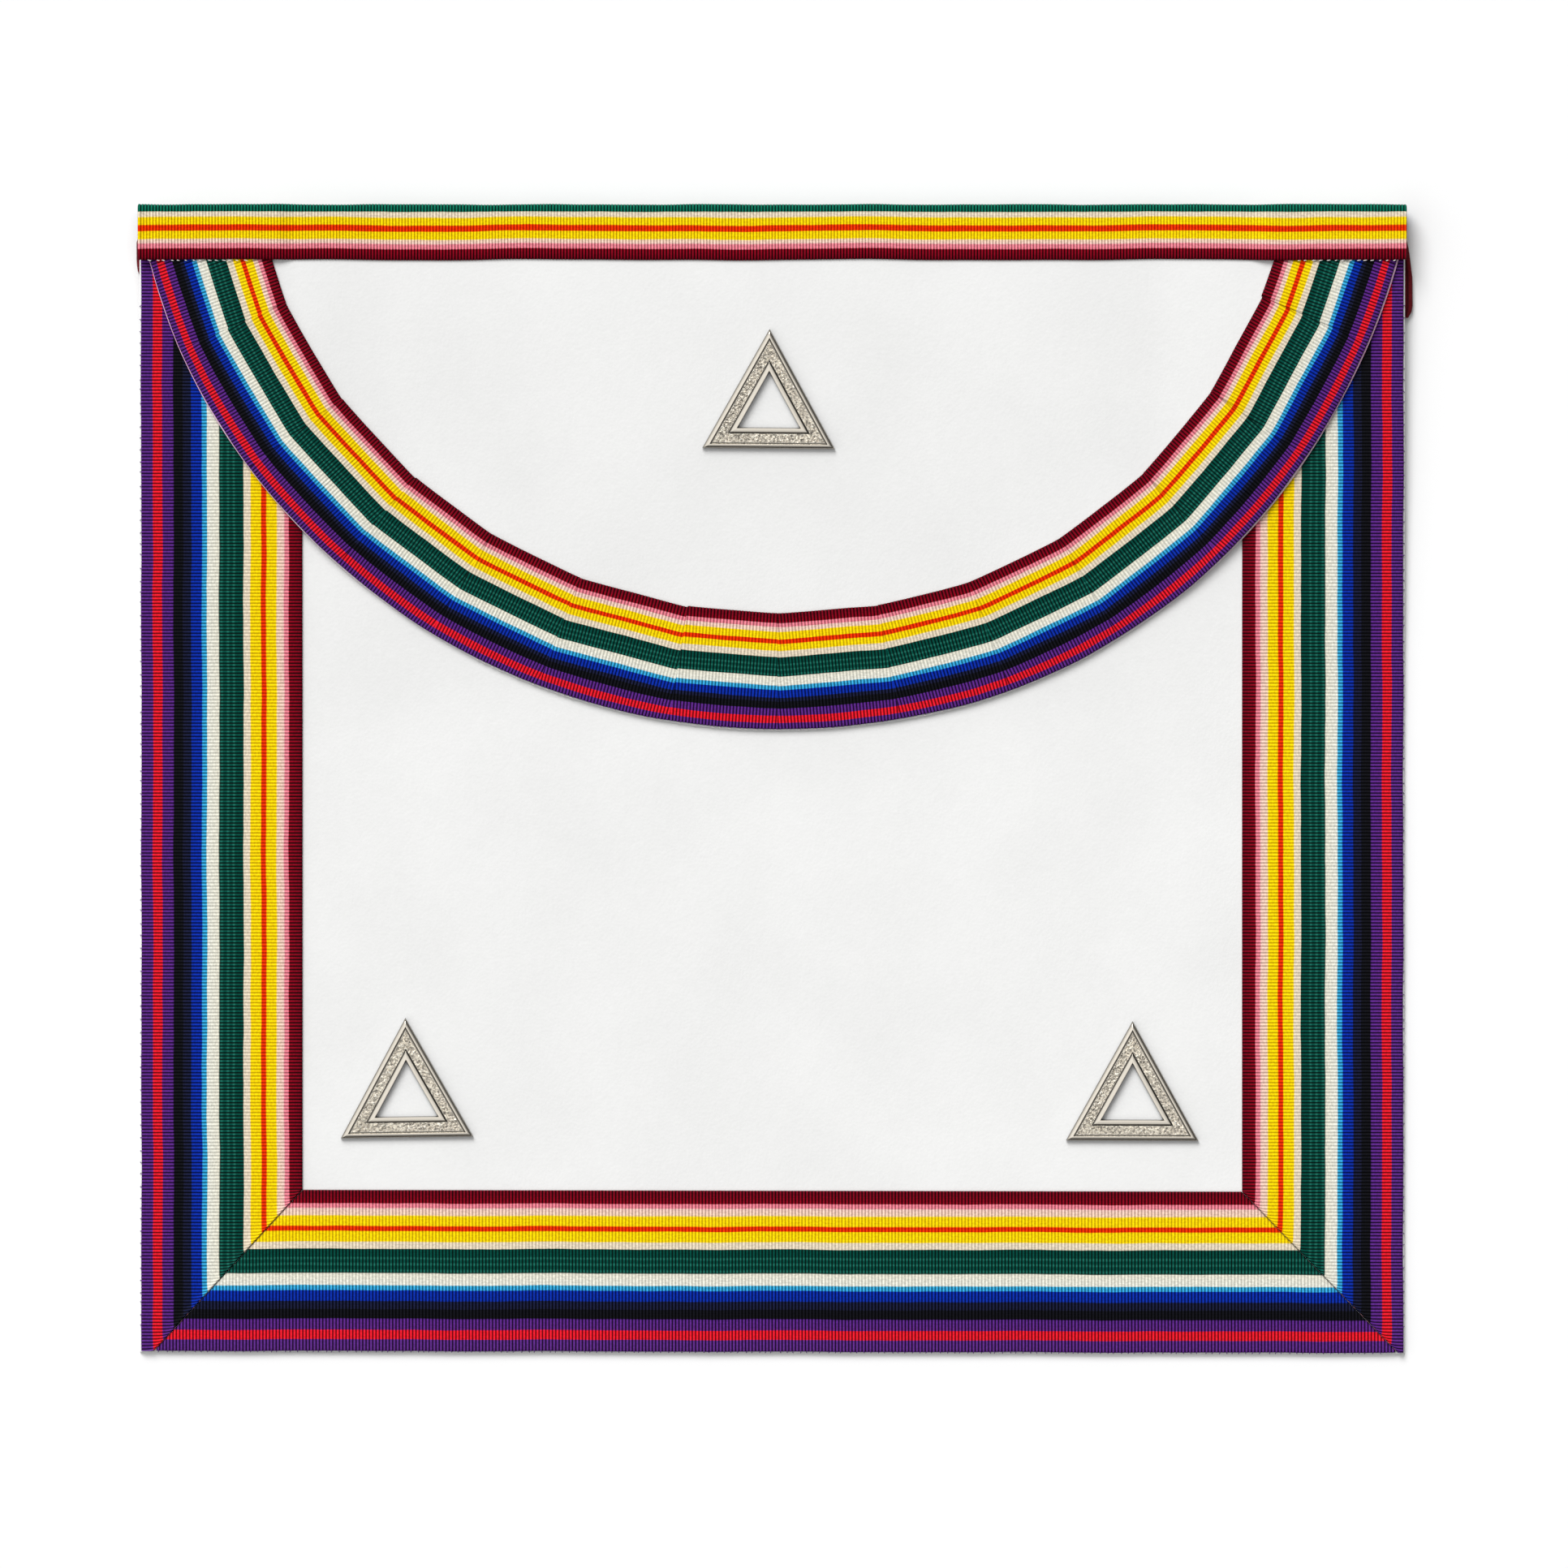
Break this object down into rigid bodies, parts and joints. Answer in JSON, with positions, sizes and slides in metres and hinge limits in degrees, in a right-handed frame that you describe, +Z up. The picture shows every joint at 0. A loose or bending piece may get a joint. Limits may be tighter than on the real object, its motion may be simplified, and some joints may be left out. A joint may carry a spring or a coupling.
{
  "type": "masonic apron",
  "caption": "Flat white leather apron with a mitred striped ribbon border, a half-round flap with tucked ribbon, a folded waist band, a web belt behind it and open metal triangles.",
  "frame": {"origin": "middle of the apron's box, on the surface that it lies on", "axes": "+X to the right as its face is looked at, +Y to the waist, +Z up off the surface"},
  "size_m": [0.4024, 0.362, 0.0105],
  "materials": {
    "white_leather": "fine-grained white lambskin, matt",
    "border_ribbon": "ribbed rainbow-striped ribbon, low sheen",
    "flap_ribbon": "ribbed rainbow-striped ribbon, low sheen",
    "band_ribbon": "ribbed rainbow-striped ribbon, low sheen",
    "belt_webbing": "dark red woven webbing, matt",
    "clasp_nickel": "plain nickel plate",
    "emblem_nickel": "polished nickel rims round a stippled ground"
  },
  "bodies": {
    "root": {"apron_panel": "white_leather", "border_left": "border_ribbon", "border_right": "border_ribbon", "border_foot": "border_ribbon", "flap_panel": "white_leather", "flap_ribbon": "flap_ribbon", "waist_band": "band_ribbon", "belt_left": "belt_webbing", "belt_right": "belt_webbing", "belt_clasp": "clasp_nickel", "emblem_flap": "emblem_nickel", "emblem_left": "emblem_nickel", "emblem_right": "emblem_nickel"}
  },
  "joints": []
}
